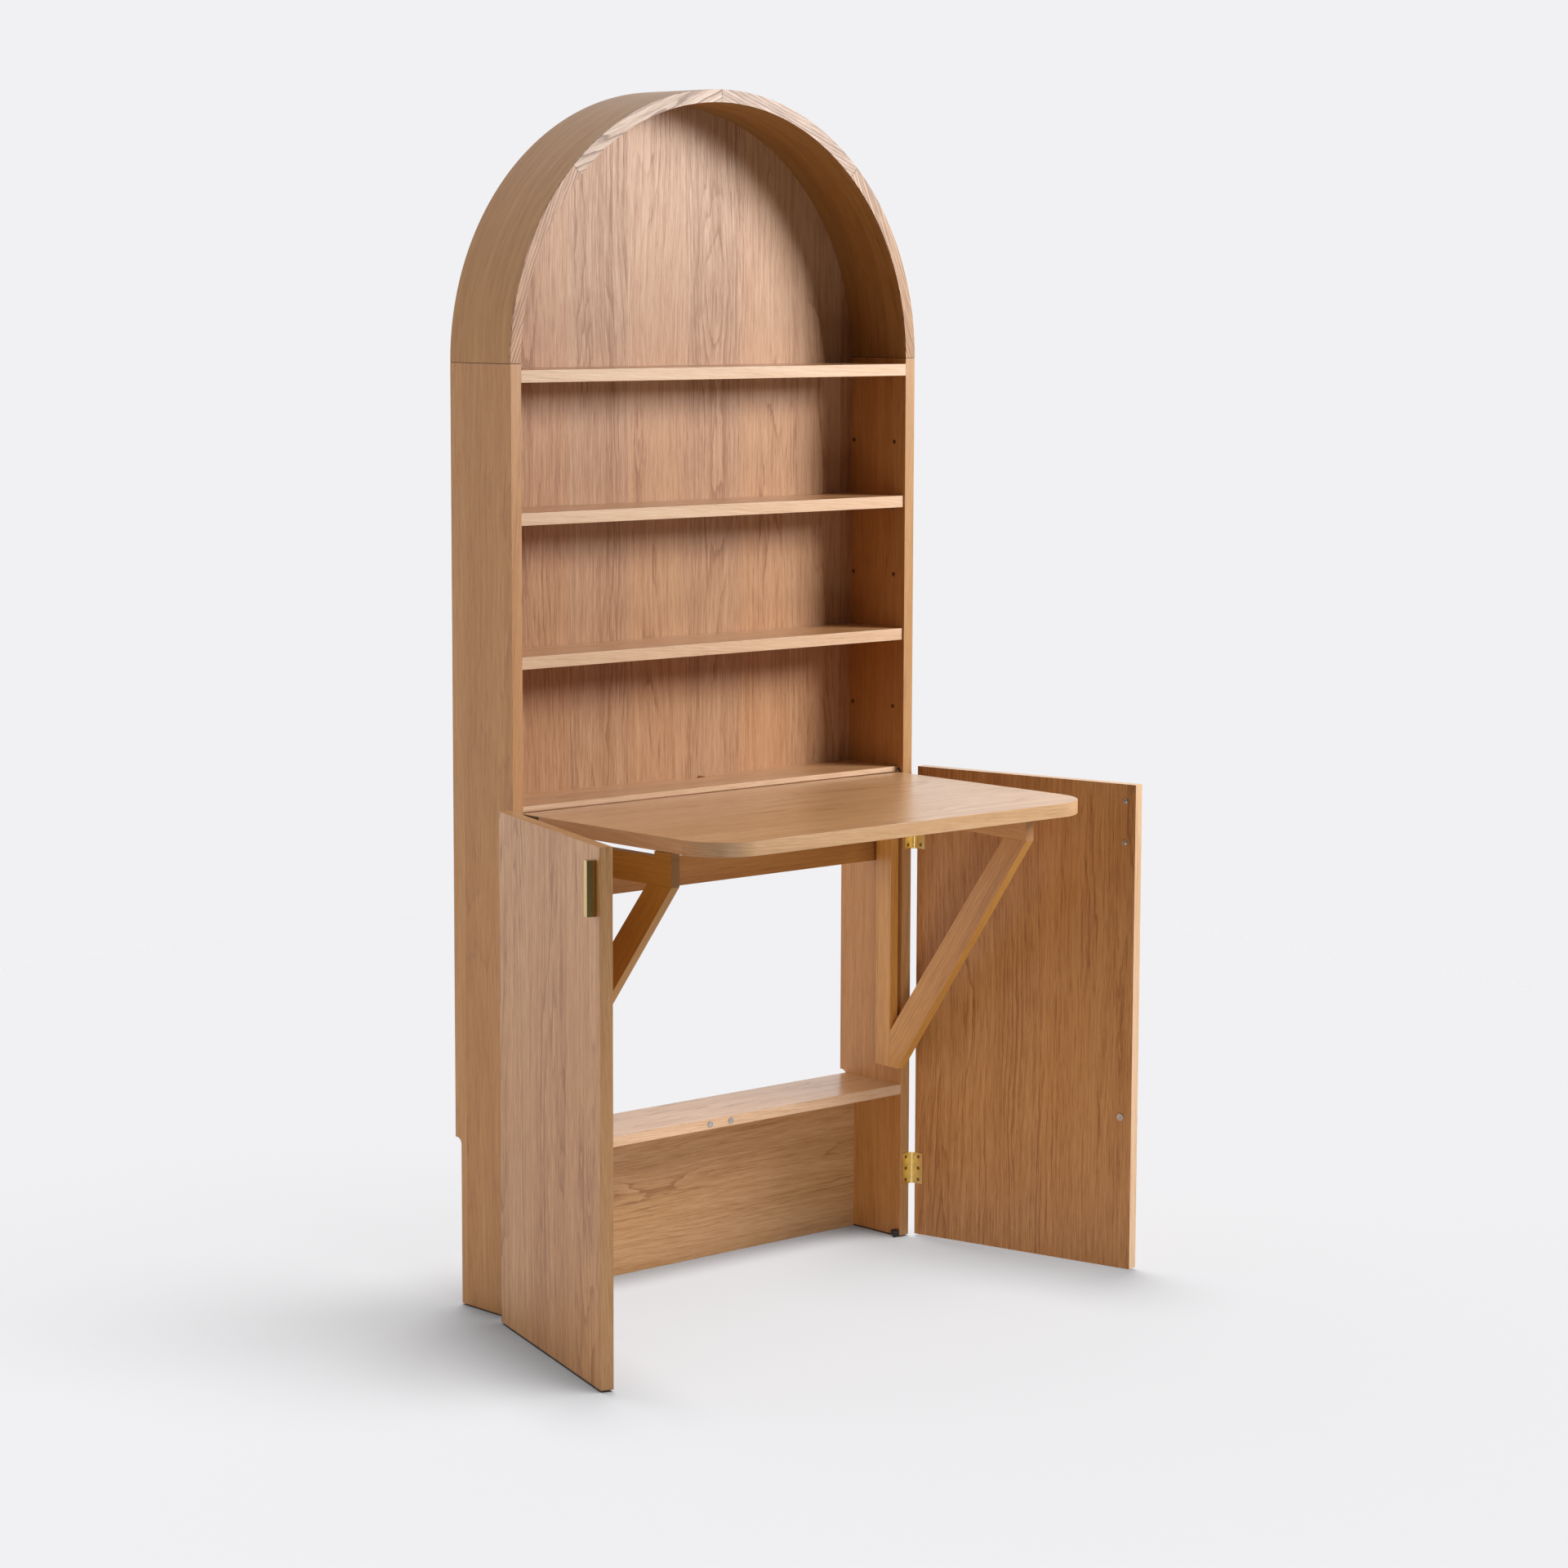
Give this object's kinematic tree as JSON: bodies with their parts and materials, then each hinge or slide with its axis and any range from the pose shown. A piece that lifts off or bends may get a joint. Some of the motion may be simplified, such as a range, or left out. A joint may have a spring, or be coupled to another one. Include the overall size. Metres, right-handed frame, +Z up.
{
  "type": "bookcase with folding table",
  "caption": "Tall arched bookcase with open shelves, hinged lower doors and a folding table carried on swing-out brackets.",
  "frame": {"origin": "on the floor under the middle of the kick board, on the centre line of the carcass", "axes": "+X to the right seen from the front, +Y to the back, +Z up; the front edges of the side panels lie at y = -0.117"},
  "size_m": [1.0821, 0.568, 1.8],
  "materials": {
    "oak": "satin lacquered oak veneer",
    "beech": "plain turned dowel",
    "brass": "satin brass",
    "steel": "zinc plated",
    "black_plastic": "matt"
  },
  "bodies": {
    "carcass": {"arch_seam_dowels": "beech", "arch_shell": "oak", "back_panel": "oak", "board_dowels": "beech", "bracket_hinge_panel_leaves": "brass", "bracket_hinge_panel_screws": "steel", "bracket_hinge_pins": "brass", "catch_magnets": "steel", "cross_rail": "oak", "door_hinge_panel_leaves": "brass", "door_hinge_panel_screws": "brass", "door_hinge_pins": "brass", "kick_board": "oak", "ledge": "oak", "levelling_feet": "black_plastic", "low_shelf": "oak", "shelf_lower": "oak", "shelf_pegs": "steel", "shelf_top_fixed": "oak", "shelf_upper": "oak", "side_panel_left": "oak", "side_panel_right": "oak", "table_pivot_bushes": "brass"},
    "door_left": {"door_hinge_leaves_left": "brass", "door_hinge_screws_left": "brass", "door_left": "oak", "pull_left": "brass", "pull_screws_left": "steel", "strike_disc_left": "steel"},
    "door_right": {"door_hinge_leaves_right": "brass", "door_hinge_screws_right": "brass", "door_right": "oak", "pull_right": "brass", "pull_screws_right": "steel", "strike_disc_right": "steel"},
    "table": {"table_pivot_pins": "steel", "table_pivot_plates": "steel", "table_plate_screws": "steel", "table_top_board": "oak"},
    "bracket_left": {"bracket_left_arm": "oak", "bracket_left_brace": "oak", "bracket_left_hinge_leaves": "brass", "bracket_left_hinge_screws": "steel", "bracket_left_post": "oak", "bracket_left_tip_block": "oak"},
    "bracket_right": {"bracket_right_arm": "oak", "bracket_right_brace": "oak", "bracket_right_hinge_leaves": "brass", "bracket_right_hinge_screws": "steel", "bracket_right_post": "oak", "bracket_right_tip_block": "oak"}
  },
  "joints": [
    {"name": "door_left_hinge", "type": "hinge", "parent": "carcass", "child": "door_left", "pos_m": [-0.405, -0.1185, 0.3815], "axis": [0, 0, 1], "range_deg": [-72, 21]},
    {"name": "door_right_hinge", "type": "hinge", "parent": "carcass", "child": "door_right", "pos_m": [0.405, -0.1185, 0.3815], "axis": [0, 0, 1], "range_deg": [-15.5, 77.5]},
    {"name": "table_lift", "type": "hinge", "parent": "carcass", "child": "table", "pos_m": [0, -0.107, 0.7522], "axis": [-1, 0, 0], "range_deg": [0, 85]},
    {"name": "bracket_left_swing", "type": "hinge", "parent": "carcass", "child": "bracket_left", "pos_m": [-0.378, -0.073, 0.5], "axis": [0, 0, 1], "range_deg": [0, 90]},
    {"name": "bracket_right_swing", "type": "hinge", "parent": "carcass", "child": "bracket_right", "pos_m": [0.378, -0.073, 0.5], "axis": [0, 0, 1], "range_deg": [-84, 6]}
  ]
}
